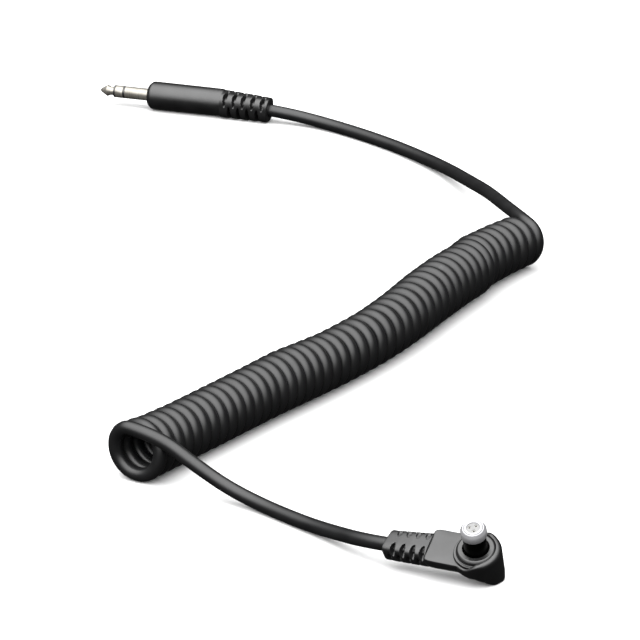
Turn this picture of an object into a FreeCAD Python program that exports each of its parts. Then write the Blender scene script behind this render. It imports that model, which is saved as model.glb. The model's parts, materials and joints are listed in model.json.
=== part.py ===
"""Coiled camera trigger cable: a straight three-contact jack, a curly cord and a right-angle plug.

Row frame, in millimetres: +Z up, the origin on the floor under the middle of the two plugs' box,
+Y along the cable from the camera plug towards the jack.
"""
import FreeCAD, Part
import Sketcher
import math
import os

Vector = FreeCAD.Vector
Rotation = FreeCAD.Rotation
Placement = FreeCAD.Placement

X_AXIS = Vector(1, 0, 0)
Y_AXIS = Vector(0, 1, 0)
Z_AXIS = Vector(0, 0, 1)

os.makedirs("parts", exist_ok=True)
doc = FreeCAD.newDocument("trigger_cable")

# ---------------------------------------------------------------- driving dimensions

SIZES = {
    # cord
    "cord_radius": 1.7,
    "coil_radius": 7.4,
    "core_radius": 0.4,
    # jack: where it lies, then its lengths along the pin from the moulding's front face
    "jack_x": -38.5,
    "jack_y": 170.3,
    "jack_height": 4.0,
    "jack_heading": 162.0,
    "pin_radius": 1.75,
    "sleeve_end": 7.2,
    "ring_start": 7.8,
    "ring_end": 10.1,
    "tip_start": 10.6,
    "tip_waist_end": 11.7,
    "tip_bulge": 12.7,
    "tip_nose": 14.5,
    "tip_end": 15.0,
    "tip_waist_radius": 1.2,
    "tip_bulge_radius": 1.62,
    "tip_nose_radius": 0.6,
    "rod_radius": 0.45,
    "tip_tube_radius": 0.72,
    "ring_tube_radius": 0.98,
    "sleeve_bore": 1.25,
    "flange_radius": 3.2,
    "flange_front": 0.8,
    "flange_back": 1.8,
    "shank_root_radius": 2.05,
    "shank_root_end": 0.15,
    "washer_radius": 1.9,
    "washer_back": 2.6,
    "ring_tag_front": 3.4,
    "ring_tag_back": 3.9,
    "tip_tag_front": 4.7,
    "tip_tag_back": 5.2,
    "rod_back": 5.6,
    "tip_tag_radius": 1.1,
    "tag_width": 1.2,
    "tag_thickness": 0.4,
    "tag_back": 7.5,
    "ring_tab_offset": 1.5,
    "tip_tab_offset": 0.5,
    "lug_offset": 1.92,
    "lug_thickness": 0.45,
    "lug_width": 1.8,
    "crimp_front": 14.5,
    "crimp_back": 17.5,
    "crimp_wall": 0.35,
    "joint_gap": 0.05,
    "solder_radius": 0.62,
    "jack_mould_radius": 3.3,
    "jack_mould_back": 13.0,
    "barrel_radius": 4.0,
    "barrel_length": 22.4,
    "barrel_chamfer": 0.9,
    "barrel_shoulder": 3.3,
    "relief_length": 14.2,
    "relief_core_radius": 2.55,
    "relief_first_rib": 3.8,
    "relief_last_rib": 3.1,
    "relief_rib_width": 1.75,
    "relief_first_gap": 1.0,
    # camera plug: where its nose axis meets the flat top, and how it lies
    "plug_x": 46.4,
    "plug_y": -168.9,
    "plug_height": 7.52,
    "plug_heading": 160.0,
    "plug_pitch": -3.0,
    "plug_roll": -27.0,
    "head_radius": 6.0,
    "body_half_width": 5.0,
    "body_length": 11.7,
    "head_depth": 7.0,
    "shoulder_depth": 3.3,
    "body_edge": 1.6,
    "cord_depth": 2.3,
    "droop": 6.5,
    "relief_root": 12.0,
    "relief_reach": 10.1,
    "neck_overlap": 1.5,
    "neck_width": 5.0,
    "neck_height": 4.7,
    "rib_width": 7.6,
    "rib_height": 5.2,
    "last_rib_width": 6.8,
    "last_rib_height": 4.8,
    "rib_edge": 1.0,
    "rib_thickness": 1.7,
    "rib_start": 0.4,
    # nose, heights above the flat top
    "contact_bore": 1.6,
    "contact_radius": 1.93,
    "contact_flange": 3.4,
    "contact_base": 1.2,
    "neck_base": 0.5,
    "neck_bore": 2.35,
    "neck_radius": 2.74,
    "neck_top": 7.0,
    "sleeve_bottom": 6.6,
    "sleeve_skirt_bore": 2.82,
    "sleeve_radius": 3.1,
    "sleeve_shoulder": 8.1,
    "sleeve_top": 9.0,
    "sleeve_top_radius": 2.55,
    "sleeve_lip_bore": 2.25,
    "sleeve_web_top": 8.8,
    "sleeve_web_bottom": 8.4,
    "sleeve_bore_radius": 1.98,
    "sleeve_tube_radius": 2.25,
    "sleeve_tube_bottom": 5.6,
    "rim_radius": 2.18,
    "rim_bottom": 8.85,
    "rim_top": 9.05,
    "insulator_top": 8.85,
    "insulator_base": 1.8,
    "contact_circle": 0.9,
    "contact_pin_radius": 0.42,
    "contact_pin_top": 8.7,
    "contact_pin_base": 2.5,
    "contact_socket_radius": 0.24,
    "contact_socket_depth": 3.0,
    "spring_wire_radius": 0.11,
    "spring_radius": 2.14,
    "spring_bottom": 0.46,
    "spring_length": 5.8,
    "spring_turns": 12,
    # stepped collar round the nose
    "collar_radius": 5.35,
    "collar_step": 0.65,
    "collar_inner_radius": 4.7,
    "collar_bore": 3.15,
    "collar_top": 1.9,
    "collar_shoulder": 1.4,
    "collar_crest": 4.2,
    # inside the plug
    "plug_mould_radius": 3.6,
    "plug_mould_top": 1.2,
    "plug_mould_depth": 3.6,
    "plug_mould_half_width": 2.6,
    "plug_mould_length": 7.5,
    "plug_crimp_start": 0.6,
    "plug_crimp_length": 2.5,
}

sheet = doc.addObject("Spreadsheet::Sheet", "dims")
for row, (alias, number) in enumerate(SIZES.items(), start=1):
    sheet.set(f"A{row}", alias)
    sheet.set(f"B{row}", str(number))
    sheet.setAlias(f"B{row}", alias)
doc.recompute()


def size(word):
    """A literal number, or the sheet's value of an alias."""
    if word[0].isdigit():
        return float(word)
    return float(sheet.get(word))


def amount(text):
    """The value of a sum such as "sleeve_top - collar_step"."""
    total = 0.0
    sign = 1
    for word in text.split():
        if word == "+":
            sign = 1
        elif word == "-":
            sign = -1
        else:
            total += sign * size(word)
            sign = 1
    return total


def bound(text):
    """The same sum as an expression that reads the sheet."""
    words = []
    for word in text.split():
        is_name = word[0].isalpha()
        words.append(f"dims.{word}" if is_name else word)
    return " ".join(words)


def between(first, last, share):
    """An expression part of the way from one cell to another."""
    return f"dims.{first} + (dims.{last} - dims.{first}) * {share}"


def bind(thing, **texts):
    """Bind properties of a feature to sums of sheet cells."""
    for name, text in texts.items():
        thing.setExpression(name, bound(text))


# ---------------------------------------------------------------- frames

def turn(axis, angle):
    return Rotation(axis, angle)


# the jack's own frame: Z along the pin towards its tip, origin at the moulding's front face
JACK = Placement(
    Vector(amount("jack_x"), amount("jack_y"), amount("jack_height")),
    turn(Z_AXIS, amount("jack_heading")) * turn(Y_AXIS, 90),
)

# the camera plug's own frame: Z along the nose, X towards the cord, origin on the flat top
PLUG = Placement(
    Vector(amount("plug_x"), amount("plug_y"), amount("plug_height")),
    turn(Z_AXIS, amount("plug_heading"))
    * turn(Y_AXIS, amount("plug_pitch"))
    * turn(X_AXIS, amount("plug_roll")),
)

ALONG_X = turn(Y_AXIS, 90)

# the camera plug's strain relief, which droops a little: X towards the cord, along the cord's axis
RELIEF = PLUG.multiply(Placement(
    Vector(amount("relief_root"), 0, -amount("cord_depth")), turn(Y_AXIS, amount("droop")),
))


def at(frame, x, y, z, rotation=Rotation()):
    """A placement given in one of the plugs' frames."""
    return frame.multiply(Placement(Vector(x, y, z), rotation))


# ---------------------------------------------------------------- kinds of feature

def plane_of(body, role):
    return next(item for item in body.Origin.OriginFeatures if item.Role == role)


def pin_down(sketch, index, across, up):
    """Tie a sketch line's start point to the sheet, or to an axis where the text is 0."""
    for kind, text, axis in (("DistanceX", across, -2), ("DistanceY", up, -1)):
        if text == "0":
            sketch.addConstraint(Sketcher.Constraint("PointOnObject", index, 1, axis))
            continue
        number = sketch.addConstraint(Sketcher.Constraint(kind, -1, 1, index, 1, amount(text)))
        sketch.setExpression(f"Constraints[{number}]", bound(text))


def outlined(body, name, role, outline):
    """A closed outline of straight sides on one of the body's origin planes."""
    sketch = body.newObject("Sketcher::SketchObject", name)
    sketch.AttachmentSupport = [(plane_of(body, role), "")]
    sketch.MapMode = "FlatFace"
    corners = [Vector(amount(across), amount(up), 0) for across, up in outline]
    count = len(corners)
    for index, corner in enumerate(corners):
        sketch.addGeometry(Part.LineSegment(corner, corners[(index + 1) % count]))
    for index in range(count):
        sketch.addConstraint(Sketcher.Constraint("Coincident", index, 2, (index + 1) % count, 1))
    for index, (across, up) in enumerate(outline):
        pin_down(sketch, index, across, up)
    return sketch


def turned(label, outline, frame):
    """A turned piece: an outline of (radius, height) revolved about the frame's Z axis."""
    body = doc.addObject("PartDesign::Body", label)
    sketch = outlined(body, label + "_outline", "XZ_Plane", outline)
    revolution = body.newObject("PartDesign::Revolution", label + "_revolution")
    revolution.Profile = sketch
    revolution.ReferenceAxis = (sketch, ["V_Axis"])
    revolution.Angle = 360
    body.Placement = frame
    return body


def rod(label, radius, height, placement):
    piece = doc.addObject("Part::Cylinder", label)
    bind(piece, Radius=radius, Height=height)
    piece.Placement = placement
    return piece


def block(label, length, width, height, placement):
    piece = doc.addObject("Part::Box", label)
    bind(piece, Length=length, Width=width, Height=height)
    piece.Placement = placement
    return piece


def ball(label, radius, placement):
    piece = doc.addObject("Part::Sphere", label)
    bind(piece, Radius=radius)
    piece.Placement = placement
    return piece


def fused(label, pieces):
    piece = doc.addObject("Part::MultiFuse", label)
    piece.Shapes = pieces
    return piece


def cut(label, base, tools):
    piece = doc.addObject("Part::Cut", label)
    piece.Base = base
    piece.Tool = tools[0] if len(tools) == 1 else fused(label + "_tools", tools)
    return piece


def edges_along(form, direction):
    """The numbers of a form's edges that run in a direction."""
    numbers = []
    for number, edge in enumerate(form.Shape.Edges, start=1):
        run = edge.Vertexes[1].Point - edge.Vertexes[0].Point
        if run.Length > 0 and abs(run.normalize().dot(direction)) > 0.999:
            numbers.append(number)
    return numbers


def filleted(label, base, numbers, radius):
    piece = doc.addObject("Part::Fillet", label)
    piece.Base = base
    piece.Edges = [(number, amount(radius), amount(radius)) for number in numbers]
    return piece


def rounded_slab(label, thickness, width, height, start, share=0):
    """A slab with rounded corners across the camera plug's strain relief, centred on the cord.

    Width and height are each a pair of cells, and share says how far it is from the first to the second.
    """
    full_width = amount(width[0]) + (amount(width[1]) - amount(width[0])) * share
    full_height = amount(height[0]) + (amount(height[1]) - amount(height[0])) * share
    corner = at(RELIEF, start, -full_width / 2, -full_height / 2)
    plain = block(label + "_block", thickness, width[0], height[0], corner)
    plain.setExpression("Width", between(*width, share))
    plain.setExpression("Height", between(*height, share))
    doc.recompute()
    return filleted(label, plain, edges_along(plain, RELIEF.Rotation.multVec(X_AXIS)), "rib_edge")


# ---------------------------------------------------------------- routes

ARC_SHARE = 0.45


def route_wire(name, points):
    """Straight runs joined by tangent arcs, each as large as its two runs allow."""
    points = [Vector(*point) for point in points]
    edges = []
    start = points[0]
    radii = []
    for before, corner, after in zip(points, points[1:], points[2:]):
        inward = (before - corner).normalize()
        outward = (after - corner).normalize()
        shorter = min(before.distanceToPoint(corner), after.distanceToPoint(corner))
        half_turn = (math.pi - inward.getAngle(outward)) / 2
        reach = ARC_SHARE * shorter
        radii.append(reach / math.tan(half_turn))
        first = corner + inward * reach
        last = corner + outward * reach
        middle_way = (inward + outward).normalize()
        depth = radii[-1] / math.cos(half_turn) - radii[-1]
        edges.append(Part.LineSegment(start, first).toShape())
        edges.append(Part.Arc(first, corner + middle_way * depth, last).toShape())
        start = last
    edges.append(Part.LineSegment(start, points[-1]).toShape())
    print(f"{name}: arc radii " + ", ".join(f"{radius:.1f}" for radius in radii))
    return Part.Wire(edges)


def along(wire, distance):
    """The point and the direction at a distance along a wire."""
    for edge in wire.Edges:
        if distance <= edge.Length:
            parameter = edge.getParameterByLength(distance)
            return edge.valueAt(parameter), edge.tangentAt(parameter)
        distance -= edge.Length
    raise ValueError("the distance is past the wire's end")


def stretch(wire, start, end):
    """The part of a wire between two distances along it."""
    edges = []
    for edge in wire.Edges:
        if start < edge.Length and end > 0:
            first = edge.getParameterByLength(max(start, 0))
            last = edge.getParameterByLength(min(end, edge.Length))
            edges.append(edge.Curve.toShape(first, last))
        start -= edge.Length
        end -= edge.Length
    return Part.Wire(edges)


def tube(label, wire, radius):
    """A round tube swept along a wire, checked against its section times its length."""
    start, direction = along(wire, 0)
    section = Part.Wire([Part.Circle(start, direction, radius).toShape()])
    shape = wire.makePipeShell([section], True, True)
    expected = math.pi * radius * radius * wire.Length
    print(f"{label}: length {wire.Length:.1f}, volume {shape.Volume:.0f} for {expected:.0f}")
    if abs(shape.Volume / expected - 1) > 0.01:
        raise ValueError(label + " has the wrong volume")
    piece = doc.addObject("Part::Feature", label)
    piece.Shape = shape
    return piece


def in_frame(frame, points):
    return [tuple(frame.multVec(Vector(*point))) for point in points]


# ---------------------------------------------------------------- cord

COIL_AXIS = [
    (-33.8, -107.6),
    (-17.8, -86.1),
    (-2.8, -65.1),
    (12.7, -46.1),
    (27.2, -24.6),
    (42.2, 6.9),
    (52.2, 23.9),
    (64.8, 42.4),
]

# from the jack's strain relief, over the floor, up to the top of the coil's far end
JACK_LEAD_FREE = [
    (-4.4, 158.2, 3.4),
    (5.2, 155.2, 2.1),
    (14.2, 149.8, 1.7),
    (22.7, 141.8, 1.7),
    (31.2, 132.6, 1.7),
    (39.2, 121.6, 2.0),
    (46.0, 109.2, 2.9),
    (51.7, 91.4, 5.5),
    (55.7, 75.4, 8.5),
    (59.2, 58.5, 11.2),
    (63.3, 44.3, 12.6),
    (64.7, 37.9, 12.0),
]

# from the top of the coil's near end, down to the floor, up to the camera plug
CAMERA_LEAD_FREE = [
    (-34.8, -106.2, 13.1),
    (-27.0, -112.5, 12.3),
    (-20.3, -116.2, 8.2),
    (-12.3, -120.4, 3.9),
    (-4.3, -126.4, 1.9),
    (4.2, -135.2, 1.7),
    (11.7, -143.4, 2.3),
]

JACK_BEND = 24.0
RELIEF_RUN_OUT = 13.0

cord_radius = amount("cord_radius")

jack_lead_points = in_frame(JACK, [(0, 0, -amount("crimp_front")), (0, 0, -JACK_BEND)]) + JACK_LEAD_FREE
camera_lead_points = CAMERA_LEAD_FREE + in_frame(RELIEF, [
    (RELIEF_RUN_OUT, 0, 0),
    (amount("plug_crimp_start"), 0, 0),
])
jack_lead_wire = route_wire("jack_lead", jack_lead_points)
camera_lead_wire = route_wire("camera_lead", camera_lead_points)
coil_wire = route_wire("coil", [(x, y, amount("coil_radius")) for x, y in COIL_AXIS])

coil = tube("coil", coil_wire, amount("coil_radius"))
jack_lead = cut("jack_lead", tube("jack_lead_tube", jack_lead_wire, cord_radius), [coil])
camera_lead = cut("camera_lead", tube("camera_lead_tube", camera_lead_wire, cord_radius), [coil])

# ---------------------------------------------------------------- jack contacts and insulators

jack_tip_contact = turned("jack_tip_contact", [
    ("0", "0 - rod_back"),
    ("rod_radius", "0 - rod_back"),
    ("rod_radius", "tip_start"),
    ("tip_waist_radius", "tip_start"),
    ("tip_waist_radius", "tip_waist_end"),
    ("tip_bulge_radius", "tip_bulge"),
    ("tip_nose_radius", "tip_nose"),
    ("0", "tip_end"),
], JACK)

jack_tip_insulator = turned("jack_tip_insulator", [
    ("rod_radius", "0 - tip_tag_front"),
    ("tip_tube_radius", "0 - tip_tag_front"),
    ("tip_tube_radius", "ring_end"),
    ("pin_radius", "ring_end"),
    ("pin_radius", "tip_start"),
    ("rod_radius", "tip_start"),
], JACK)

jack_ring_contact = turned("jack_ring_contact", [
    ("tip_tube_radius", "0 - ring_tag_back"),
    ("ring_tube_radius", "0 - ring_tag_back"),
    ("ring_tube_radius", "ring_start"),
    ("pin_radius", "ring_start"),
    ("pin_radius", "ring_end"),
    ("tip_tube_radius", "ring_end"),
], JACK)

jack_ring_insulator = turned("jack_ring_insulator", [
    ("ring_tube_radius", "0 - ring_tag_front"),
    ("sleeve_bore", "0 - ring_tag_front"),
    ("sleeve_bore", "sleeve_end"),
    ("pin_radius", "sleeve_end"),
    ("pin_radius", "ring_start"),
    ("ring_tube_radius", "ring_start"),
], JACK)

jack_sleeve_contact = turned("jack_sleeve_contact", [
    ("sleeve_bore", "0 - flange_back"),
    ("flange_radius", "0 - flange_back"),
    ("flange_radius", "0 - flange_front"),
    ("shank_root_radius", "0 - flange_front"),
    ("shank_root_radius", "0 - shank_root_end"),
    ("pin_radius", "0 - shank_root_end"),
    ("pin_radius", "sleeve_end"),
    ("sleeve_bore", "sleeve_end"),
], JACK)

jack_rear_insulator = turned("jack_rear_insulator", [
    ("sleeve_bore", "0 - washer_back"),
    ("washer_radius", "0 - washer_back"),
    ("washer_radius", "0 - flange_back"),
    ("sleeve_bore", "0 - flange_back"),
], JACK)

# ---------------------------------------------------------------- jack tags, clamp, cores and solder


def tag(label, bore, radius, front, back, tab_side):
    """A washer on the pin's stack with a tab that runs back beside the axis."""
    washer = turned(label + "_washer", [
        (bore, "0 - " + back),
        (radius, "0 - " + back),
        (radius, "0 - " + front),
        (bore, "0 - " + front),
    ], JACK)
    tab = block(
        label + "_tab", "tag_width", "tag_thickness", "tag_back - " + front,
        at(JACK, -amount("tag_width") / 2, tab_side, -amount("tag_back")),
    )
    return fused(label, [washer, tab])


jack_ring_tag = tag(
    "jack_ring_tag", "ring_tube_radius", "washer_radius", "ring_tag_front", "ring_tag_back",
    amount("ring_tab_offset"),
)
jack_tip_tag = tag(
    "jack_tip_tag", "rod_radius", "tip_tag_radius", "tip_tag_front", "tip_tag_back",
    -amount("tip_tab_offset + tag_thickness"),
)

jack_crimp = turned("jack_crimp", [
    ("cord_radius", "0 - crimp_back"),
    ("cord_radius + crimp_wall", "0 - crimp_back"),
    ("cord_radius + crimp_wall", "0 - crimp_front"),
    ("cord_radius", "0 - crimp_front"),
], JACK)
jack_lug = block(
    "jack_lug", "lug_width", "lug_thickness", "crimp_back - flange_back",
    at(JACK, -amount("lug_width") / 2, -amount("lug_offset + lug_thickness"), -amount("crimp_back")),
)
jack_sleeve_clamp = fused("jack_sleeve_clamp", [jack_crimp, jack_lug])

CORE_START = -amount("crimp_front")
TAB_END = -amount("tag_back")
RING_TAB = amount("ring_tab_offset") + amount("tag_thickness") / 2
TIP_TAB = -amount("tip_tab_offset") - amount("tag_thickness") / 2
GROUND_SPOT = -amount("lug_offset") + amount("core_radius")

JACK_CORES = {
    "jack_ring_core": [(0, 0.6, CORE_START), (0, 0.7, -13.0), (0, 1.6, -10.2), (0, RING_TAB, TAB_END)],
    "jack_tip_core": [
        (0.8, -0.3, CORE_START), (0.7, -0.35, -13.0), (0.1, -0.6, -10.2), (0, TIP_TAB, TAB_END),
    ],
    "jack_ground_core": [
        (-0.8, -0.4, CORE_START), (-0.8, -0.5, -13.0), (-0.7, -1.4, -11.0), (-0.6, GROUND_SPOT, -9.2),
    ],
}


def cores(frame, routes):
    radius = amount("core_radius")
    return [tube(label, route_wire(label, in_frame(frame, route)), radius) for label, route in routes.items()]


def solder(label, frame, spots, neighbours):
    """One bead of solder at each joint, hollowed where the tab and the core run through it."""
    beads = [
        ball(f"{label}_{index}", "solder_radius", at(frame, *spot))
        for index, spot in enumerate(spots, start=1)
    ]
    return cut(label, fused(label + "_beads", beads), neighbours)


jack_cores = cores(JACK, JACK_CORES)
jack_solder = solder(
    "jack_solder", JACK,
    [(0, RING_TAB, TAB_END), (0, TIP_TAB, TAB_END), (-0.6, GROUND_SPOT, -9.2)],
    [jack_ring_tag, jack_tip_tag, jack_sleeve_clamp] + jack_cores,
)

# ---------------------------------------------------------------- jack mouldings

jack_mould_form = turned("jack_mould_form", [
    ("0", "0 - jack_mould_back"),
    ("jack_mould_radius", "0 - jack_mould_back"),
    ("jack_mould_radius", "0 - flange_back"),
    ("0", "0 - flange_back"),
], JACK)
jack_inner_mould = cut("jack_inner_mould", jack_mould_form, [
    jack_tip_contact, jack_tip_insulator, jack_ring_contact, jack_ring_insulator, jack_rear_insulator,
    jack_ring_tag, jack_tip_tag, jack_sleeve_clamp, jack_solder,
] + jack_cores)

barrel_form = turned("barrel_form", [
    ("0", "0 - barrel_length"),
    ("barrel_shoulder", "0 - barrel_length"),
    ("barrel_radius", "0 - barrel_length + barrel_chamfer"),
    ("barrel_radius", "0 - barrel_chamfer"),
    ("barrel_radius - barrel_chamfer", "0"),
    ("0", "0"),
], JACK)

JACK_RIBS = 5
relief_start = amount("barrel_length - crimp_front")
relief_end = relief_start + amount("relief_length")
relief_core = tube(
    "relief_core", stretch(jack_lead_wire, relief_start - amount("barrel_chamfer"), relief_end),
    amount("relief_core_radius"),
)

jack_ribs = []
rib_pitch = amount("relief_length - relief_first_gap - relief_rib_width") / (JACK_RIBS - 1)
for index in range(JACK_RIBS):
    middle, direction = along(jack_lead_wire, relief_start + amount("relief_first_gap") + index * rib_pitch)
    rib = rod(
        f"jack_rib_{index + 1}", "relief_first_rib", "relief_rib_width",
        Placement(middle, Rotation(Z_AXIS, direction)),
    )
    rib.setExpression("Radius", between("relief_first_rib", "relief_last_rib", index / (JACK_RIBS - 1)))
    jack_ribs.append(rib)

pin_core = rod("pin_core", "sleeve_bore", "flange_back", at(JACK, 0, 0, -amount("flange_back")))
jack_overmould = cut(
    "jack_overmould",
    fused("jack_overmould_form", [barrel_form, relief_core] + jack_ribs),
    [
        pin_core, jack_sleeve_contact, jack_mould_form, jack_sleeve_clamp, doc.getObject("jack_lead_tube"),
    ] + jack_cores,
)

# ---------------------------------------------------------------- camera plug: nose

plug_contact_barrel = turned("plug_contact_barrel", [
    ("contact_bore", "0 - contact_base"),
    ("contact_flange", "0 - contact_base"),
    ("contact_flange", "0 - neck_base"),
    ("contact_radius", "0 - neck_base"),
    ("contact_radius", "rim_bottom"),
    ("rim_radius", "rim_bottom"),
    ("rim_radius", "rim_top"),
    ("contact_bore", "rim_top"),
], PLUG)

nose_neck = turned("nose_neck", [
    ("neck_bore", "0 - neck_base"),
    ("contact_flange", "0 - neck_base"),
    ("contact_flange", "0"),
    ("neck_radius", "0"),
    ("neck_radius", "neck_top"),
    ("neck_bore", "neck_top"),
], PLUG)

release_sleeve = turned("release_sleeve", [
    ("sleeve_bore_radius", "sleeve_tube_bottom"),
    ("sleeve_tube_radius", "sleeve_tube_bottom"),
    ("sleeve_tube_radius", "sleeve_web_bottom"),
    ("sleeve_skirt_bore", "sleeve_web_bottom"),
    ("sleeve_skirt_bore", "sleeve_bottom"),
    ("sleeve_radius", "sleeve_bottom"),
    ("sleeve_radius", "sleeve_shoulder"),
    ("sleeve_top_radius", "sleeve_top"),
    ("sleeve_lip_bore", "sleeve_top"),
    ("sleeve_lip_bore", "sleeve_web_top"),
    ("sleeve_bore_radius", "sleeve_web_top"),
], PLUG)

head_collar = turned("head_collar", [
    ("contact_flange", "0 - neck_base"),
    ("collar_radius", "0 - neck_base"),
    ("collar_radius", "collar_step"),
    ("collar_inner_radius", "collar_step"),
    ("collar_inner_radius", "collar_shoulder"),
    ("collar_crest", "collar_top"),
    ("collar_bore", "collar_top"),
    ("collar_bore", "0"),
    ("contact_flange", "0"),
], PLUG)

CONTACTS = 3


def contact_spot(index):
    angle = 2 * math.pi * index / CONTACTS
    reach = amount("contact_circle")
    return reach * math.cos(angle), reach * math.sin(angle)


contact_rods = []
contact_sockets = []
for index in range(CONTACTS):
    spot_x, spot_y = contact_spot(index)
    contact_rods.append(rod(
        f"contact_rod_{index + 1}", "contact_pin_radius", "contact_pin_top + contact_pin_base",
        at(PLUG, spot_x, spot_y, -amount("contact_pin_base")),
    ))
    contact_sockets.append(rod(
        f"contact_socket_{index + 1}", "contact_socket_radius", "contact_socket_depth",
        at(PLUG, spot_x, spot_y, amount("contact_pin_top") - amount("contact_socket_depth")),
    ))
contact_form = fused("contact_form", contact_rods)
plug_contacts = cut("plug_contacts", contact_form, contact_sockets)

contact_holes = [
    rod(
        f"contact_hole_{index + 1}", "contact_pin_radius", "insulator_top + insulator_base",
        at(PLUG, *contact_spot(index), -amount("insulator_base")),
    )
    for index in range(CONTACTS)
]
insulator_form = rod(
    "insulator_form", "contact_bore", "insulator_top + insulator_base",
    at(PLUG, 0, 0, -amount("insulator_base")),
)
plug_insulator = cut("plug_insulator", insulator_form, contact_holes)

WIRE_ARCS = 8


def wire_section(radius, wire_radius):
    """The spring wire's round section, as short arcs that keep each swept face narrow."""
    def spot(step):
        angle = 2 * math.pi * step / WIRE_ARCS
        return Vector(radius + wire_radius * math.cos(angle), 0, wire_radius * math.sin(angle))

    return Part.Wire([
        Part.Arc(spot(index), spot(index + 0.5), spot(index + 1)).toShape() for index in range(WIRE_ARCS)
    ])


spring_height = amount("spring_length")
spring_path = Part.makeHelix(spring_height / amount("spring_turns"), spring_height, amount("spring_radius"))
spring_section = wire_section(amount("spring_radius"), amount("spring_wire_radius"))
release_spring = doc.addObject("Part::Feature", "release_spring")
release_spring.Shape = Part.Wire(spring_path.Edges).makePipeShell([spring_section], True, True)
release_spring.Placement = at(PLUG, 0, 0, -amount("spring_bottom") + amount("spring_wire_radius"))

# ---------------------------------------------------------------- camera plug: cores and mouldings

JOINT_Z = -amount("contact_pin_base + core_radius + joint_gap")


def plug_core_route(index, side, height):
    """From the cord's end, forward under the contacts, to the foot of one contact."""
    spot_x, spot_y = contact_spot(index)
    start = amount("plug_crimp_start")
    cord_frame = PLUG.inverse().multiply(RELIEF)
    inside_cord = in_frame(cord_frame, [(start, side, height), (start - 2.5, side, height)])
    return inside_cord + [(amount("relief_root") - 5.5, spot_y * 1.2, JOINT_Z), (spot_x, spot_y, JOINT_Z)]


PLUG_CORES = {
    "plug_signal_core": plug_core_route(1, 0.85, -0.3),
    "plug_focus_core": plug_core_route(0, 0.0, 0.6),
    "plug_ground_core": plug_core_route(2, -0.85, -0.3),
}
plug_cores = cores(PLUG, PLUG_CORES)
plug_solder = solder(
    "plug_solder", PLUG,
    [(*contact_spot(index), -amount("contact_pin_base")) for index in range(CONTACTS)],
    [contact_form] + plug_cores,
)

plug_crimp_form = rod(
    "plug_crimp_form", "cord_radius + crimp_wall", "plug_crimp_length",
    at(RELIEF, amount("plug_crimp_start"), 0, 0, ALONG_X),
)
plug_crimp = cut("plug_crimp", plug_crimp_form, [doc.getObject("camera_lead_tube")])

MOULD_HEIGHT = "plug_mould_depth - plug_mould_top"
MOULD_BASE = -amount("plug_mould_depth")
mould_round = rod("mould_round", "plug_mould_radius", MOULD_HEIGHT, at(PLUG, 0, 0, MOULD_BASE))
mould_arm = block(
    "mould_arm", "plug_mould_length", "plug_mould_half_width + plug_mould_half_width", MOULD_HEIGHT,
    at(PLUG, 0, -amount("plug_mould_half_width"), MOULD_BASE),
)
plug_mould_form = fused("plug_mould_form", [mould_round, mould_arm])
plug_inner_mould = cut(
    "plug_inner_mould", plug_mould_form, [insulator_form, contact_form, plug_solder] + plug_cores
)

# the flat body seen from above, and the wedge that its side view is cut to
plan_body = doc.addObject("PartDesign::Body", "plan_body")
plan_sketch = outlined(plan_body, "plan_outline", "XY_Plane", [
    ("0", "0 - body_half_width"),
    ("body_length", "0 - body_half_width"),
    ("body_length", "body_half_width"),
    ("0", "body_half_width"),
])
plan_pad = plan_body.newObject("PartDesign::Pad", "plan_pad")
plan_pad.Profile = plan_sketch
plan_pad.Reversed = True
bind(plan_pad, Length="head_depth")
plan_body.Placement = PLUG
head_form = rod("head_form", "head_radius", "head_depth", at(PLUG, 0, 0, -amount("head_depth")))
plan_form = fused("plan_form", [plan_body, head_form])

wedge_body = doc.addObject("PartDesign::Body", "wedge_body")
wedge_sketch = outlined(wedge_body, "wedge_outline", "XZ_Plane", [
    ("0 - head_radius", "0 - head_depth"),
    ("body_length", "0 - shoulder_depth"),
    ("body_length", "0"),
    ("0 - head_radius", "0"),
])
wedge_pad = wedge_body.newObject("PartDesign::Pad", "wedge_pad")
wedge_pad.Profile = wedge_sketch
wedge_pad.Midplane = True
bind(wedge_pad, Length="head_radius + head_radius + 1")
wedge_body.Placement = PLUG

plug_body_form = doc.addObject("Part::MultiCommon", "plug_body_form")
plug_body_form.Shapes = [plan_form, wedge_body]
doc.recompute()


def underside_edges(form):
    """The numbers of the form's edges that lie wholly on its sloping underside."""
    inverse = PLUG.inverse()
    slope = amount("head_depth - shoulder_depth") / amount("head_radius + body_length")
    numbers = []
    for number, edge in enumerate(form.Shape.Edges, start=1):
        ends = [inverse.multVec(vertex.Point) for vertex in edge.Vertexes]
        heights = [-amount("head_depth") + slope * (end.x + amount("head_radius")) for end in ends]
        if all(abs(end.z - height) < 0.01 for end, height in zip(ends, heights)):
            numbers.append(number)
    return numbers


rounded_body = filleted("rounded_body", plug_body_form, underside_edges(plug_body_form), "body_edge")

PLUG_RIBS = 4
RIB_WIDTHS = ("rib_width", "last_rib_width")
RIB_HEIGHTS = ("rib_height", "last_rib_height")
relief_slabs = [rounded_slab(
    "relief_neck", "relief_reach + neck_overlap",
    ("neck_width", "neck_width"), ("neck_height", "neck_height"),
    -amount("neck_overlap"),
)]
plug_rib_pitch = amount("relief_reach - rib_start - rib_thickness") / (PLUG_RIBS - 1)
for index in range(PLUG_RIBS):
    relief_slabs.append(rounded_slab(
        f"plug_rib_{index + 1}", "rib_thickness", RIB_WIDTHS, RIB_HEIGHTS,
        amount("rib_start") + index * plug_rib_pitch, index / (PLUG_RIBS - 1),
    ))

nose_well = rod("nose_well", "neck_bore", "neck_base", at(PLUG, 0, 0, -amount("neck_base")))

plug_overmould = cut(
    "plug_overmould",
    fused("plug_overmould_form", [rounded_body] + relief_slabs),
    [
        head_collar, nose_neck, nose_well, plug_contact_barrel, insulator_form, plug_mould_form,
        plug_crimp_form,
        doc.getObject("camera_lead_tube"),
    ] + plug_cores,
)

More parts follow.
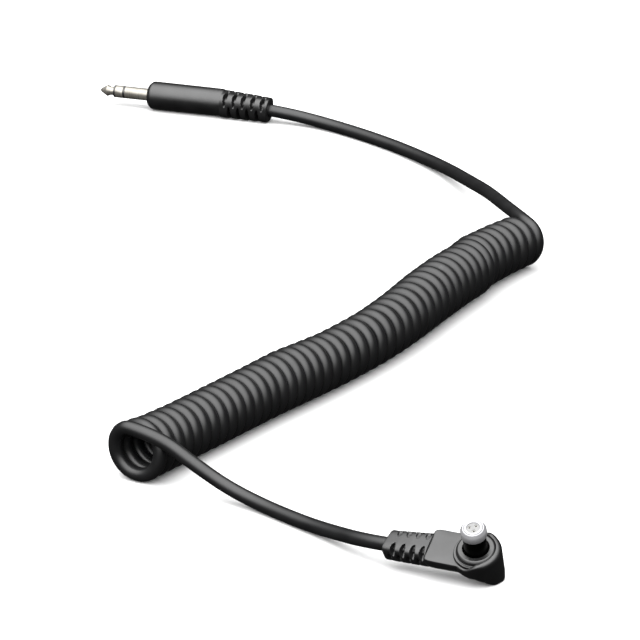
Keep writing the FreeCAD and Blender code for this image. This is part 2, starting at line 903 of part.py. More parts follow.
# ---------------------------------------------------------------- check and write

SUBPARTS = [
    jack_tip_contact, jack_tip_insulator, jack_ring_contact, jack_ring_insulator, jack_sleeve_contact,
    jack_rear_insulator, jack_ring_tag, jack_tip_tag, jack_sleeve_clamp, *jack_cores, jack_solder,
    jack_inner_mould, jack_overmould,
    jack_lead, coil, camera_lead,
    plug_overmould, plug_inner_mould, plug_crimp, *plug_cores, plug_solder, head_collar, nose_neck,
    plug_contact_barrel, plug_insulator, plug_contacts, release_sleeve, release_spring,
]

doc.recompute()
for item in doc.Objects:
    if "Invalid" in item.State or "Error" in item.State:
        raise RuntimeError(item.Label + " did not recompute")
for subpart in SUBPARTS:
    if subpart.Shape.isNull() or not subpart.Shape.isValid():
        raise RuntimeError(subpart.Label + " has no valid shape")
    subpart.Shape.exportStep(f"parts/{subpart.Label}.step")
    box = subpart.Shape.BoundBox
    print(
        f"{subpart.Label}: {len(subpart.Shape.Solids)} solid, {subpart.Shape.Volume:.1f} mm3, "
        f"x {box.XMin:.1f}..{box.XMax:.1f} y {box.YMin:.1f}..{box.YMax:.1f} z {box.ZMin:.2f}..{box.ZMax:.1f}"
    )
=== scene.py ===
"""Looks of the coiled camera trigger cable: cord, mouldings, contacts, materials, light and camera.

Every length below is in millimetres until it goes through mm() or a frame, which give metres.
"""
import bpy
import bmesh
import json
import math
from mathutils import Matrix, Vector


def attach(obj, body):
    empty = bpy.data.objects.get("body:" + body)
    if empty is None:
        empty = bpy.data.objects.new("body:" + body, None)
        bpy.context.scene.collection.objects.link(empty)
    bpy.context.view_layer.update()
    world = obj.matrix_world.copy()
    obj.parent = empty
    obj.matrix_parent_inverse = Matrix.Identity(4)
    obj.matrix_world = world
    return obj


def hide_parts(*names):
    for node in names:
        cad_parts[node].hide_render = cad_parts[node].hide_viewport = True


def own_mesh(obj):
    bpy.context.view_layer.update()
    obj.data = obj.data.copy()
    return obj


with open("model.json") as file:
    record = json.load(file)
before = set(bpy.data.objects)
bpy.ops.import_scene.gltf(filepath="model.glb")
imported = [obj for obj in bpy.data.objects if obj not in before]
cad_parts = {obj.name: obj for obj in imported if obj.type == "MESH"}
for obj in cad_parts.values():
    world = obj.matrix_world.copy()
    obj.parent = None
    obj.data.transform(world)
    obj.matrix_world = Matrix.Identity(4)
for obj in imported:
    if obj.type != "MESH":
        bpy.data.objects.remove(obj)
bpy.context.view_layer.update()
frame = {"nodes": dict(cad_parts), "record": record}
NODES = frame["nodes"]
MM = 0.001


def mm(x, y, z):
    return Vector((x, y, z)) * MM


# ---------------------------------------------------------------- camera

AIM = mm(10.2, 0.9, 0)
camera_data = bpy.data.cameras.new("camera")
camera_data.sensor_width = 36
camera_data.lens = 325.7  # a long lens, so that the far end is nearly as large as the near end
camera_data.clip_start = 0.1
camera_data.clip_end = 10
camera = bpy.data.objects.new("camera", camera_data)
camera.location = AIM + mm(0, -1400.4, 537.6)  # 1.5 m away, 21 degrees above the floor
camera.rotation_euler = (AIM - camera.location).to_track_quat("-Z", "Y").to_euler()
bpy.context.scene.collection.objects.link(camera)
bpy.context.scene.camera = camera
bpy.context.scene.view_settings.view_transform = "Standard"

# ---------------------------------------------------------------- frames of the two plugs

def turn(axis, angle):
    """A rotation in degrees round one of the axes."""
    return Matrix.Rotation(math.radians(angle), 4, axis)


def place(matrix, x, y, z):
    """A point of a plug's frame, in metres in the row frame."""
    return matrix @ mm(x, y, z)


# the jack's frame: Z along the pin towards its tip, origin at the moulding's front face
JACK = Matrix.Translation(mm(-38.5, 170.3, 4.0)) @ turn("Z", 162) @ turn("Y", 90)
# the camera plug's frame: Z along the nose, X towards the cord, origin on the flat top
PLUG = Matrix.Translation(mm(46.4, -168.9, 7.52)) @ turn("Z", 160) @ turn("Y", -3) @ turn("X", -27)
# the camera plug's strain relief: X along the cord
RELIEF = PLUG @ Matrix.Translation(mm(12.0, 0, -2.3)) @ turn("Y", 6.5)

# ---------------------------------------------------------------- cord

CORD_RADIUS = 1.75
CORD_START = 14.5  # how far behind the jack's front face the cord begins

# the line on the floor under the middle of the coil, from its end by the camera plug
COIL_AXIS = [
    (-34.7, -108.8),
    (-17.8, -86.1),
    (-2.8, -65.1),
    (12.7, -46.1),
    (27.2, -24.6),
    (42.2, 6.9),
    (52.2, 23.9),
    (64.2, 41.5),
]

JACK_LEAD = [
    place(JACK, 0, 0, -CORD_START),
    place(JACK, 0.3, 0, -24.0),
    mm(-4.4, 158.0, 3.7),
    mm(5.2, 155.2, 2.5),
    mm(14.2, 149.8, 1.7),
    mm(22.7, 141.8, 1.7),
    mm(31.2, 132.6, 1.7),
    mm(39.2, 121.6, 2.0),
    mm(46.0, 109.2, 2.9),
    mm(51.7, 91.4, 5.5),
    mm(55.7, 75.4, 8.5),
    mm(59.2, 58.5, 11.2),
    mm(63.3, 44.3, 12.6),
]

CAMERA_LEAD = [
    mm(-27.0, -112.5, 12.3),
    mm(-20.3, -116.2, 8.2),
    mm(-12.3, -120.4, 3.9),
    mm(-4.3, -126.4, 1.9),
    mm(4.2, -135.2, 1.7),
    mm(11.7, -143.4, 2.3),
    place(RELIEF, 13.0, 0, 0),
    place(RELIEF, 0.6, 0, 0),
]


def nurbs(name, points, radius=0.0):
    """A curve object of one open, smooth NURBS spline with these control points.

    The radius is each point's own, over a bevel of depth 1, so that the object's box is as thick as the cord.
    """
    curve = bpy.data.curves.new(name, "CURVE")
    curve.dimensions = "3D"
    spline = curve.splines.new("NURBS")
    spline.points.add(len(points) - 1)
    for point, co in zip(spline.points, points):
        point.co = (*co, 1)
        point.radius = radius * MM
    spline.order_u = 3
    spline.use_endpoint_u = True
    spline.resolution_u = 8
    piece = bpy.data.objects.new(name, curve)
    bpy.context.scene.collection.objects.link(piece)
    return piece


def line_of(piece):
    """The points along a curve that has no bevel."""
    mesh = bpy.data.meshes.new_from_object(piece)
    line = [vertex.co.copy() for vertex in mesh.vertices]
    bpy.data.meshes.remove(mesh)
    return line


class Walk:
    """A line that can be asked for its point and heading at a distance along it."""

    def __init__(self, line):
        self.line = line
        self.far = [0.0]
        for before, after in zip(line, line[1:]):
            self.far.append(self.far[-1] + (after - before).length)
        self.length = self.far[-1]

    def at(self, distance):
        if distance < 0:
            heading = (self.line[1] - self.line[0]).normalized()
            return self.line[0] + heading * distance, heading
        distance = min(distance, self.length)
        index = 1
        while index < len(self.far) - 1 and self.far[index] < distance:
            index += 1
        before, after = self.line[index - 1], self.line[index]
        share = (distance - self.far[index - 1]) / (self.far[index] - self.far[index - 1])
        return before.lerp(after, share), (after - before).normalized()


def between(table, where):
    """A value read from a table of (place, value) rows, with straight runs between them."""
    for (low, first), (high, last) in zip(table, table[1:]):
        if where <= high:
            return first + (last - first) * max(0.0, (where - low) / (high - low))
    return table[-1][1]


TURN_STEPS = 16
TURN_RADIUS = 5.7  # from the winding's middle to the middle of the cord
POLYGON_SHARE = 0.981  # a quadratic spline's radius over its 16-sided polygon's
TURNS = 47.886
START_ANGLE = 101.0
# how far apart the turns are, against how far along the winding they are
PITCHES = [(0, 3.55), (18, 3.5), (26, 4.1), (34, 4.1), (41, 3.8), (48, 3.65)]
# how the winding's radius changes along it
SWELLS = [(0, 1.1), (0.04, 1.03), (0.1, 1.0), (0.27, 1.0), (0.34, 1.03), (0.44, 0.97), (0.54, 0.98),
          (0.62, 1.01), (0.7, 1.05), (0.78, 1.05), (0.86, 1.02), (0.93, 0.97), (1, 0.93)]
# how far the winding wanders to its left
JOGS = [(0, 0), (0.845, 0), (0.875, 1.3), (0.94, 1.3), (1, 0.6)]

axis_curve = nurbs("coil_axis", [mm(x, y, 0) for x, y in COIL_AXIS])
coil_axis = Walk(line_of(axis_curve))
bpy.data.objects.remove(axis_curve)

steps = round(TURNS * TURN_STEPS)
advances = [between(PITCHES, (index + 0.5) / TURN_STEPS) for index in range(steps)]
total_advance = sum(advances)
coil_points = []
gone = 0.0
for index in range(steps + 1):
    share = gone / total_advance
    centre, heading = coil_axis.at(share * coil_axis.length)
    radius = TURN_RADIUS * between(SWELLS, share)
    angle = math.radians(START_ANGLE + 360 * TURNS * index / steps)
    up = Vector((0, 0, 1))
    right = heading.cross(up)
    centre = centre - right * between(JOGS, share) * MM
    spoke = (right * math.cos(angle) + up * math.sin(angle)) * (radius / POLYGON_SHARE) * MM
    coil_points.append(centre + up * (radius + CORD_RADIUS) * MM + spoke)
    if index < steps:
        gone += advances[index]

cord = nurbs("cord", JACK_LEAD + coil_points[::-1] + CAMERA_LEAD, CORD_RADIUS)
cord_line = Walk(line_of(cord))
cord.data.bevel_depth = 1.0
cord.data.bevel_resolution = 7
cord.data.use_fill_caps = True
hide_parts("jack_lead", "coil", "camera_lead")
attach(cord, "cable")

# ---------------------------------------------------------------- mesh helpers

def mesh_piece(name, rings, closed_ends=(True, True), smooth_angle=40):
    """A skin over rings of points that all have the same count, each ring closed on itself."""
    work = bmesh.new()
    loops = [[work.verts.new(point) for point in ring] for ring in rings]
    count = len(loops[0])
    for first, second in zip(loops, loops[1:]):
        for index in range(count):
            after = (index + 1) % count
            work.faces.new((first[index], first[after], second[after], second[index]))
    if closed_ends[0]:
        work.faces.new(loops[0][::-1])
    if closed_ends[1]:
        work.faces.new(loops[-1])
    bmesh.ops.recalc_face_normals(work, faces=work.faces)
    mesh = bpy.data.meshes.new(name)
    work.to_mesh(mesh)
    work.free()
    for polygon in mesh.polygons:
        polygon.use_smooth = True
    mesh.set_sharp_from_angle(angle=math.radians(smooth_angle))
    piece = bpy.data.objects.new(name, mesh)
    bpy.context.scene.collection.objects.link(piece)
    return piece


def joined(name, *pieces):
    """Several pieces as one object."""
    work = bmesh.new()
    for piece in pieces:
        work.from_mesh(piece.data)
    mesh = bpy.data.meshes.new(name)
    work.to_mesh(mesh)
    work.free()
    for piece in pieces:
        bpy.data.objects.remove(piece)
    result = bpy.data.objects.new(name, mesh)
    bpy.context.scene.collection.objects.link(result)
    return result


def lathe(matrix, outline, count=96):
    """Rings of points round a frame's Z axis, from an outline of (height, radius)."""
    rings = []
    for height, radius in outline:
        rings.append([
            place(matrix, radius * math.cos(2 * math.pi * k / count),
                  radius * math.sin(2 * math.pi * k / count), height)
            for k in range(count)
        ])
    return rings


def eased(x):
    """0 below 0, 1 above 1 and a smooth step between."""
    x = min(max(x, 0.0), 1.0)
    return x * x * (3 - 2 * x)


def window(x, half, soft):
    """1 within half of 0, falling smoothly to 0 over soft."""
    return 1 - eased((abs(x) - half) / soft)


RELIEF_STEP = 0.1
RELIEF_AROUND = 120
RELIEF_END_ROUND = 0.35
SLOT_WALL = 0.2  # the run of a slot's side wall along the bar
SLOT_END = 14  # degrees over which a slot's end fades out, starting 8 degrees before its half angle
SLOT_END_INSET = 8
SLOT_NARROWING = 0.75  # the share of its half length that a slot loses by its end
# the mouth round the cord at the relief's end: (radius, how far beyond the end)
RELIEF_MOUTH = [(1.88, 0.0), (1.76, -0.12), (1.76, -1.5)]


def ribbed_relief(name, walk, start, length, halves, power, slots, up_axis, core):
    """A strain relief that follows a walk: a bar of rounded section with moulded slots.

    halves gives the half width and half height at a share of its length. A slot is (place, half length,
    angle, half angle, depth), with its angle measured from the side towards the top, and narrows towards
    its ends. core gives the reach that a slot leaves whole, at a distance along the bar.
    """
    rings = []
    count = round(length / RELIEF_STEP)
    for index in range(count + 1):
        along = length * index / count
        centre, heading = walk.at((start + along) * MM)
        side = heading.cross(up_axis).normalized()
        top = side.cross(heading).normalized()
        half_side, half_top = halves(along / length)
        into_end = max(0.0, (along - length + RELIEF_END_ROUND) / RELIEF_END_ROUND)
        end_round = RELIEF_END_ROUND * (1 - math.sqrt(max(0.0, 1 - into_end ** 2)))
        ring = []
        for k in range(RELIEF_AROUND):
            angle = 2 * math.pi * k / RELIEF_AROUND
            c, s = math.cos(angle), math.sin(angle)
            reach = (abs(c / half_side) ** power + abs(s / half_top) ** power) ** (-1 / power)
            cut = 0.0
            for where, half_length, middle, half_angle, depth in slots:
                if abs(along - where) > half_length + 0.5:
                    continue
                off = abs((math.degrees(angle) - middle + 180) % 360 - 180)
                narrow = half_length * (1 - SLOT_NARROWING * min(1.0, off / half_angle) ** 2)
                across = window(off, half_angle - SLOT_END_INSET, SLOT_END)
                cut = max(cut, window(along - where, narrow, SLOT_WALL) * across * depth)
            reach = max(reach - cut, min(reach, core(along))) - end_round
            ring.append(centre + (side * c + top * s) * reach * MM)
        rings.append(ring)
    for radius, beyond in RELIEF_MOUTH:
        ring = []
        for k in range(RELIEF_AROUND):
            angle = 2 * math.pi * k / RELIEF_AROUND
            spoke = (side * math.cos(angle) + top * math.sin(angle)) * radius * MM
            ring.append(centre + heading * beyond * MM + spoke)
        rings.append(ring)
    return mesh_piece(name, rings, closed_ends=(True, False), smooth_angle=50)


# ---------------------------------------------------------------- jack moulding

BARREL_LENGTH = 23.3
barrel = mesh_piece("barrel", lathe(JACK, [
    (-0.8, 1.8), (-0.02, 1.8), (0.03, 1.84), (0.03, 2.1), (0.0, 2.16), (0.0, 2.75), (-0.05, 3.0), (-0.2, 3.2),
    (-0.9, 3.82), (-1.15, 3.95), (-1.6, 4.0), (-6.0, 4.0), (-14.0, 3.97), (-21.5, 3.93), (-22.1, 3.88),
    (-22.5, 3.72), (-22.8, 3.5), (-23.0, 3.3), (-23.1, 2.9), (-23.1, 1.0),
]), closed_ends=(False, True), smooth_angle=35)

# the walk starts where the cord does, and the relief starts 0.9 mm inside the barrel
JACK_RELIEF_START = BARREL_LENGTH - CORD_START - 0.9
JACK_RELIEF_LENGTH = 14.2
JACK_RIB_PITCH = 2.8
JACK_FIRST_SLOT = 1.5
JACK_SLOTS = 5
# two rows that alternate along the relief, each of them on two opposite sides
jack_slots = []
for index in range(JACK_SLOTS):
    upper = JACK_FIRST_SLOT + index * JACK_RIB_PITCH
    for turned in (0, 180):
        jack_slots.append((upper, 0.45, 50 + turned, 42, 1.5))
        if index < JACK_SLOTS - 1:
            lower = JACK_FIRST_SLOT + (index + 0.5) * JACK_RIB_PITCH
            jack_slots.append((lower, 0.45, -36 + turned, 38, 1.5))
jack_relief = ribbed_relief(
    "jack_relief", cord_line, JACK_RELIEF_START, JACK_RELIEF_LENGTH,
    lambda share: (3.9 - 0.8 * share, 3.7 - 0.3 * share), 2.8, jack_slots, Vector((0, 0, 1)),
    lambda along: 1.95,
)
jack_moulding = joined("jack_moulding", barrel, jack_relief)
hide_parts("jack_overmould")
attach(jack_moulding, "cable")

# ---------------------------------------------------------------- camera plug moulding

HEAD_RADIUS = 6.0
BODY_HALF_WIDTH = 5.0
BODY_LENGTH = 11.7
OUTLINE_COUNT = 192


def plan_reach(angle, inset=0.0):
    """How far the plug's outline, seen along the nose, is from the nose's axis."""
    c, s = math.cos(angle), math.sin(angle)
    head = HEAD_RADIUS - inset
    if c <= 0:
        return head
    power = 14
    width, length = BODY_HALF_WIDTH - inset, BODY_LENGTH - inset
    body = (abs(c / length) ** power + abs(s / width) ** power) ** (-1 / power)
    return max(head, body)


def plan_ring(inset, height):
    """The outline, drawn in by an inset, at a height that may depend on how far towards the cord."""
    ring = []
    for k in range(OUTLINE_COUNT):
        angle = 2 * math.pi * k / OUTLINE_COUNT
        reach = plan_reach(angle, inset)
        x, y = reach * math.cos(angle), reach * math.sin(angle)
        ring.append(place(PLUG, x, y, height(x, y)))
    return ring


def round_ring(radius, z):
    """A plain circle round the nose's axis."""
    return [
        place(PLUG, radius * math.cos(2 * math.pi * k / OUTLINE_COUNT),
              radius * math.sin(2 * math.pi * k / OUTLINE_COUNT), z)
        for k in range(OUTLINE_COUNT)
    ]


# how far down the side walls reach before they turn under, against how far towards the cord
WALL_DEPTHS = [
    (-6.0, 8.2), (-5.8, 7.2), (-5.2, 6.5), (-4.2, 5.1), (-3.0, 2.8), (-1.0, 1.0), (2.0, 0.8), (11.7, 0.8),
]
# how far down the underside is
UNDER_DEPTHS = [(-6.0, 7.9), (-5.0, 7.2), (-4.0, 6.4), (-3.0, 5.7), (-1.0, 4.5), (2.0, 4.0), (11.7, 4.4)]
UNDER_EDGE = 2.6
RIM_RADIUS = 5.4


def rise(x):
    """The rim round the far side of the collar stands above the body's flat top."""
    return 1.75 * eased((1.5 - x) / 4.0)


def top_edge(x):
    """The top's edge radius: small on the body, larger round the far side of the head."""
    return 0.5 + 0.9 * eased(-x / 5.0)


def rim_radius(angle):
    """The rim's inner edge: round the collar near the cord, and over the collar's step on the far side."""
    return RIM_RADIUS - 0.75 * eased((1.0 - RIM_RADIUS * math.cos(angle)) / 4.0)


def rim_ring(out, drop):
    """A ring just outside the rim's inner edge that follows the rim's height."""
    ring = []
    for k in range(OUTLINE_COUNT):
        angle = 2 * math.pi * k / OUTLINE_COUNT
        radius = rim_radius(angle) + out
        x, y = radius * math.cos(angle), radius * math.sin(angle)
        ring.append(place(PLUG, x, y, rise(x) - drop))
    return ring


# the well that the collar stands in, then the rim, the rounded top edge, the walls and the underside
body_rings = [round_ring(3.4, -0.5), round_ring(4.6, -0.5), rim_ring(0.0, 0.1), rim_ring(0.06, 0.0)]
for share in (0.0, 0.15, 0.3, 0.45, 0.6, 0.75, 0.88, 1.0):
    lean = math.radians(90 * share)
    ring = []
    for k in range(OUTLINE_COUNT):
        angle = 2 * math.pi * k / OUTLINE_COUNT
        reach = plan_reach(angle)
        across, down = math.cos(angle), top_edge(reach * math.cos(angle))
        inner = reach - min(down, reach - rim_radius(angle) - 0.1) * (1 - math.sin(lean))
        height = rise(inner * across) - down * (1 - math.cos(lean))
        ring.append(place(PLUG, inner * across, inner * math.sin(angle), height))
    body_rings.append(ring)
for share in (0.3, 0.6, 0.85):
    body_rings.append(plan_ring(0.0, lambda x, y, share=share: (
        (1 - share) * (rise(x) - top_edge(x)) - share * between(WALL_DEPTHS, x)
    )))
for share in (0.0, 0.15, 0.3, 0.45, 0.6, 0.8, 1.0):
    lean = math.radians(90 * share)

    def under(x, y, lean=lean):
        wall, deep = between(WALL_DEPTHS, x), between(UNDER_DEPTHS, x)
        turned = math.sin(lean) if deep > wall else 1 - math.cos(lean)
        return -(wall + (deep - wall) * turned)

    body_rings.append(plan_ring(UNDER_EDGE * (1 - math.cos(lean)), under))
plug_body = mesh_piece("plug_body", body_rings, closed_ends=(False, True), smooth_angle=40)

# the relief's walk runs from the body out along the cord
out_of_plug = Walk(cord_line.line[::-1])
PLUG_RELIEF_START = -1.4
PLUG_RELIEF_LENGTH = 11.0
PLUG_RIB_PITCH = 2.42
PLUG_FIRST_SLOT = 0.95
# two rows that alternate, each of them on two opposite sides, and small notches in the top's back edge
plug_slots = []
for index in range(4):
    at_slot = PLUG_FIRST_SLOT + index * PLUG_RIB_PITCH
    for turned in (0, 180):
        plug_slots.append((at_slot, 0.5, 147 + turned, 27, 1.6))
        plug_slots.append((at_slot + 0.5 * PLUG_RIB_PITCH, 0.42, 190 + turned, 19, 1.5))
    plug_slots.append((at_slot, 0.5, 48, 16, 0.6))
plug_relief = ribbed_relief(
    "plug_relief", out_of_plug, PLUG_RELIEF_START, PLUG_RELIEF_LENGTH,
    lambda share: (3.85 - 0.5 * share, 2.6 - 0.2 * share), 4.0, plug_slots, RELIEF.col[2].xyz,
    # the slots leave more whole near the body, where the crimp is
    lambda along: 2.2 if along < 5.2 else 1.95,
)
plug_moulding = joined("plug_moulding", plug_body, plug_relief)
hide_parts("plug_overmould")
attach(plug_moulding, "cable")

# ---------------------------------------------------------------- release spring

SPRING_TURNS = 12
SPRING_RADIUS = 2.14
SPRING_WIRE_RADIUS = 0.11
SPRING_FOOT = -0.35
SPRING_LENGTH = 5.8
spring_steps = SPRING_TURNS * TURN_STEPS
spring_points = []
for index in range(spring_steps + 1):
    angle = 2 * math.pi * index / TURN_STEPS
    reach = SPRING_RADIUS / POLYGON_SHARE
    height = SPRING_FOOT + SPRING_LENGTH * index / spring_steps
    spring_points.append(place(PLUG, reach * math.cos(angle), reach * math.sin(angle), height))
spring_curve = nurbs("spring_curve", spring_points, SPRING_WIRE_RADIUS)
spring_curve.data.bevel_depth = 1.0
spring_curve.data.bevel_resolution = 2
spring_curve.data.splines[0].resolution_u = 3
depsgraph = bpy.context.evaluated_depsgraph_get()
spring_mesh = bpy.data.meshes.new_from_object(spring_curve.evaluated_get(depsgraph))
bpy.data.objects.remove(spring_curve)
for polygon in spring_mesh.polygons:
    polygon.use_smooth = True
spring = bpy.data.objects.new("spring", spring_mesh)
bpy.context.scene.collection.objects.link(spring)
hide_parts("release_spring")
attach(spring, "cable")
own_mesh(spring)

# ---------------------------------------------------------------- materials

class Shader:
    """A small node tree round one Principled shader, with its textures in the row frame."""

    def __init__(self, name, **constants):
        self.material = bpy.data.materials.new(name)
        self.material.use_nodes = True
        self.tree = self.material.node_tree
        self.shader = self.tree.nodes["Principled BSDF"]
        for socket, value in constants.items():
            self.shader.inputs[socket.replace("_", " ")].default_value = value
        coordinates = self.tree.nodes.new("ShaderNodeTexCoord")
        self.place = coordinates.outputs["Object"]

    def node(self, kind, **settings):
        made = self.tree.nodes.new(kind)
        for name, value in settings.items():
            setattr(made, name, value)
        return made

    def link(self, start, end):
        self.tree.links.new(start, end)

    def turned_place(self, matrix, scale):
        """Coordinates in a plug's frame, stretched."""
        mapping = self.node("ShaderNodeMapping")
        inverse = matrix.inverted()
        mapping.inputs["Rotation"].default_value = inverse.to_euler()
        mapping.inputs["Location"].default_value = inverse.translation
        self.link(self.place, mapping.inputs["Vector"])
        stretch = self.node("ShaderNodeMapping")
        stretch.inputs["Scale"].default_value = scale
        self.link(mapping.outputs["Vector"], stretch.inputs["Vector"])
        return stretch.outputs["Vector"]

    def noise(self, scale, detail=4, vector=None):
        noise = self.node("ShaderNodeTexNoise")
        noise.inputs["Scale"].default_value = scale
        noise.inputs["Detail"].default_value = detail
        self.link(vector or self.place, noise.inputs["Vector"])
        return noise.outputs["Fac"]

    def ramp(self, factor, stops):
        ramp = self.node("ShaderNodeValToRGB")
        elements = ramp.color_ramp.elements
        for index, (where, colour) in enumerate(stops):
            element = elements[index] if index < 2 else elements.new(where)
            element.position = where
            element.color = (*colour, 1)
        self.link(factor, ramp.inputs["Fac"])
        return ramp.outputs["Color"]

    def spread(self, factor, low, high):
        spread = self.node("ShaderNodeMapRange")
        spread.inputs["To Min"].default_value = low
        spread.inputs["To Max"].default_value = high
        spread.inputs["From Min"].default_value = 0.3
        spread.inputs["From Max"].default_value = 0.7
        self.link(factor, spread.inputs["Value"])
        return spread.outputs["Result"]

    def mixed(self, factor, first, second):
        mix = self.node("ShaderNodeMix", data_type="RGBA")
        self.link(factor, mix.inputs["Factor"])
        self.link(first, mix.inputs["A"])
        mix.inputs["B"].default_value = (*second, 1)
        return mix.outputs["Result"]

    def bump(self, height, strength, distance):
        bump = self.node("ShaderNodeBump")
        bump.inputs["Strength"].default_value = strength
        bump.inputs["Distance"].default_value = distance
        self.link(height, bump.inputs["Height"])
        self.link(bump.outputs["Normal"], self.shader.inputs["Normal"])

    def worn_edges(self, colour, worn):
        """The colour, paler where the surface is sharply convex."""
        geometry = self.node("ShaderNodeNewGeometry")
        edge = self.spread(geometry.outputs["Pointiness"], 0.0, 1.0)
        edge.node.inputs["From Min"].default_value = 0.53
        edge.node.inputs["From Max"].default_value = 0.62
        return self.mixed(edge, colour, worn)


def soft_black(name, dark, light, rough, grain, grain_depth, gloss):
    """Black flexible vinyl: slightly uneven colour and sheen, a fine moulded grain, paler handled edges."""
    shader = Shader(name, IOR=1.5, Specular_IOR_Level=gloss)
    tone = shader.ramp(shader.noise(170), [(0.3, dark), (0.7, light)])
    shader.link(shader.worn_edges(tone, tuple(2.2 * c for c in light)), shader.shader.inputs["Base Color"])
    shader.link(shader.spread(shader.noise(260, 6), *rough), shader.shader.inputs["Roughness"])
    shader.bump(shader.noise(grain, 3), 0.35, grain_depth * MM)
    return shader.material


def metal(name, dark, light, rough, matrix=PLUG, scratches=0.02, metallic=1.0):
    """Turned, plated metal: fine rings round the axis and a slightly uneven polish."""
    shader = Shader(name, Metallic=metallic)
    rings = shader.turned_place(matrix, (60, 60, 5200))
    tone = shader.ramp(shader.noise(420), [(0.35, dark), (0.65, light)])
    shader.link(tone, shader.shader.inputs["Base Color"])
    shader.link(shader.spread(shader.noise(1.0, 2, rings), *rough), shader.shader.inputs["Roughness"])
    shader.bump(shader.noise(1.0, 2, rings), 0.25, scratches * MM)
    return shader.material


def plain(name, dark, light, rough, metallic=0.0):
    """A moulded or drawn inner piece: mottled colour and a fine grain."""
    shader = Shader(name, Metallic=metallic)
    tone = shader.ramp(shader.noise(600), [(0.35, dark), (0.65, light)])
    shader.link(tone, shader.shader.inputs["Base Color"])
    shader.link(shader.spread(shader.noise(900), *rough), shader.shader.inputs["Roughness"])
    shader.bump(shader.noise(3000, 2), 0.2, 0.02 * MM)
    return shader.material


MOULDED_DARK = (0.004, 0.004, 0.0042)
MOULDED_LIGHT = (0.009, 0.009, 0.0093)

MATERIALS = {
    "cord_jacket": soft_black(
        "cord_jacket", (0.007, 0.0071, 0.0075), (0.012, 0.0122, 0.0127), (0.30, 0.38), 2600, 0.03, 0.65,
    ),
    "soft_moulding": soft_black(
        "soft_moulding", MOULDED_DARK, MOULDED_LIGHT, (0.28, 0.38), 3200, 0.04, 0.95,
    ),
    "black_plastic": soft_black(
        "black_plastic", MOULDED_DARK, MOULDED_LIGHT, (0.28, 0.36), 3600, 0.02, 1.0,
    ),
    "plated_contact": metal(
        "plated_contact", (0.36, 0.34, 0.30), (0.43, 0.41, 0.37), (0.24, 0.36), JACK, metallic=0.7,
    ),
    "bright_metal": metal(
        "bright_metal", (0.42, 0.42, 0.435), (0.46, 0.46, 0.475), (0.36, 0.48), metallic=0.45,
    ),
    # a black part, but its base is darkened beyond its own black as painted shade for the dark gap round the
    # neck under the release sleeve
    "black_metal": metal("black_metal", (0.004, 0.004, 0.004), (0.01, 0.01, 0.009), (0.35, 0.5)),
    "spring_steel": metal("spring_steel", (0.2, 0.2, 0.205), (0.26, 0.26, 0.265), (0.25, 0.4)),
    "brass": metal("brass", (0.30, 0.22, 0.1), (0.36, 0.27, 0.14), (0.3, 0.45)),
    "gold_contact": metal(
        "gold_contact", (0.34, 0.335, 0.32), (0.38, 0.375, 0.36), (0.34, 0.44), metallic=0.4,
    ),
    "solder": plain("solder", (0.22, 0.225, 0.23), (0.28, 0.285, 0.29), (0.3, 0.5), 1.0),
    "core_red": plain("core_red", (0.45, 0.03, 0.03), (0.58, 0.06, 0.05), (0.35, 0.5)),
    "core_white": plain("core_white", (0.72, 0.72, 0.68), (0.82, 0.82, 0.78), (0.35, 0.5)),
    "core_yellow": plain("core_yellow", (0.68, 0.52, 0.06), (0.8, 0.64, 0.1), (0.35, 0.5)),
    "inner_mould": plain("inner_mould", (0.6, 0.6, 0.55), (0.7, 0.7, 0.65), (0.5, 0.65)),
    "insulator": plain("insulator", (0.25, 0.25, 0.25), (0.29, 0.29, 0.288), (0.3, 0.45)),
}


def dress(piece, slot):
    """Give a piece one material, in place of any it has."""
    piece.data.materials.clear()
    piece.data.materials.append(MATERIALS[slot])


SLOTS = {subpart["node"]: subpart["material_slot"] for subpart in frame["record"]["subparts"]}
for name, node in NODES.items():
    dress(node, SLOTS[name])
dress(cord, "cord_jacket")
dress(jack_moulding, "soft_moulding")
dress(plug_moulding, "soft_moulding")
dress(spring, "spring_steel")

# turned pieces get their small machined edges
for name in (
    "jack_tip_contact", "jack_ring_contact", "jack_sleeve_contact",
    "jack_tip_insulator", "jack_ring_insulator",
    "head_collar", "nose_neck", "plug_contact_barrel", "release_sleeve", "plug_insulator",
):
    node = NODES[name]
    weld = node.modifiers.new("weld", "WELD")
    weld.merge_threshold = 0.002 * MM
    bevel = node.modifiers.new("edges", "BEVEL")
    bevel.width = (0.16 if name == "head_collar" else 0.07) * MM
    bevel.segments = 3
    bevel.limit_method = "ANGLE"
    bevel.angle_limit = math.radians(35)
    bevel.harden_normals = True

# ---------------------------------------------------------------- floor and light

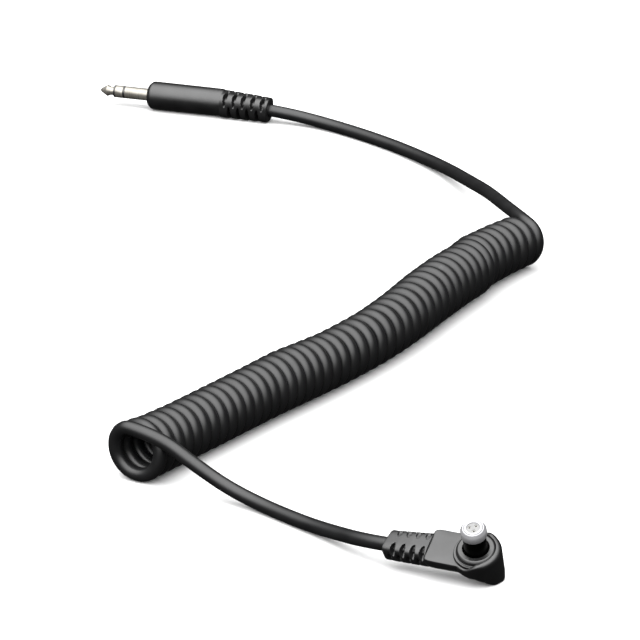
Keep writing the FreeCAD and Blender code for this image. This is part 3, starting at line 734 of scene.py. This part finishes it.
# a paper sweep: flat out to 4.6 m, then curved up into a wall, well outside every view of the object
# its outline, in metres, is (reach, height)
SWEEP_FLAT = 4.6
SWEEP_BEND = 1.4
SWEEP_WALL_HEIGHT = 5.0
SWEEP_BEND_STEPS = 8
SWEEP_COUNT = 64
sweep = [(0.5, 0.0), (2.0, 0.0), (SWEEP_FLAT, 0.0)]
for step in range(1, SWEEP_BEND_STEPS + 1):
    lean = math.radians(90 * step / SWEEP_BEND_STEPS)
    sweep.append((SWEEP_FLAT + SWEEP_BEND * math.sin(lean), SWEEP_BEND * (1 - math.cos(lean))))
sweep.append((SWEEP_FLAT + SWEEP_BEND, SWEEP_WALL_HEIGHT))
floor_rings = []
for reach, height in sweep:
    angles = [2 * math.pi * k / SWEEP_COUNT for k in range(SWEEP_COUNT)]
    floor_rings.append([
        Vector((reach * math.cos(angle), reach * math.sin(angle), height)) for angle in angles
    ])
floor = mesh_piece("floor", floor_rings, closed_ends=(True, False))
floor.location.z = -0.05 * MM
# the sweep is only a background: it neither tints the object nor stands in the light's way
floor.visible_glossy = False
floor.visible_diffuse = False
floor.visible_shadow = False
paper = Shader("paper", Roughness=0.9, Specular_IOR_Level=0.1)
paper.link(
    paper.ramp(paper.noise(9), [(0.3, (0.86, 0.86, 0.86)), (0.7, (0.88, 0.88, 0.88))]),
    paper.shader.inputs["Base Color"],
)
floor.data.materials.append(paper.material)

# one very large soft source, overhead and a little to the front and left, that fades out towards the sides
LIGHT_FROM = Vector((-0.15, -0.34, 0.93)).normalized()
LIGHT = 4.2
FILL = 0.03
world = bpy.data.worlds.new("studio")
world.use_nodes = True
sky = world.node_tree
direction = sky.nodes.new("ShaderNodeTexCoord")
facing = sky.nodes.new("ShaderNodeVectorMath")
facing.operation = "DOT_PRODUCT"
facing.inputs[1].default_value = LIGHT_FROM
strength = sky.nodes.new("ShaderNodeMapRange")
strength.interpolation_type = "SMOOTHSTEP"
for socket, value in (("From Min", 0.26), ("From Max", 0.98), ("To Min", FILL), ("To Max", LIGHT)):
    strength.inputs[socket].default_value = value
sky.links.new(direction.outputs["Generated"], facing.inputs[0])
sky.links.new(facing.outputs["Value"], strength.inputs["Value"])
sky.links.new(strength.outputs["Result"], sky.nodes["Background"].inputs["Strength"])
sky.nodes["Background"].inputs["Color"].default_value = (1, 1, 1, 1)
bpy.context.scene.world = world
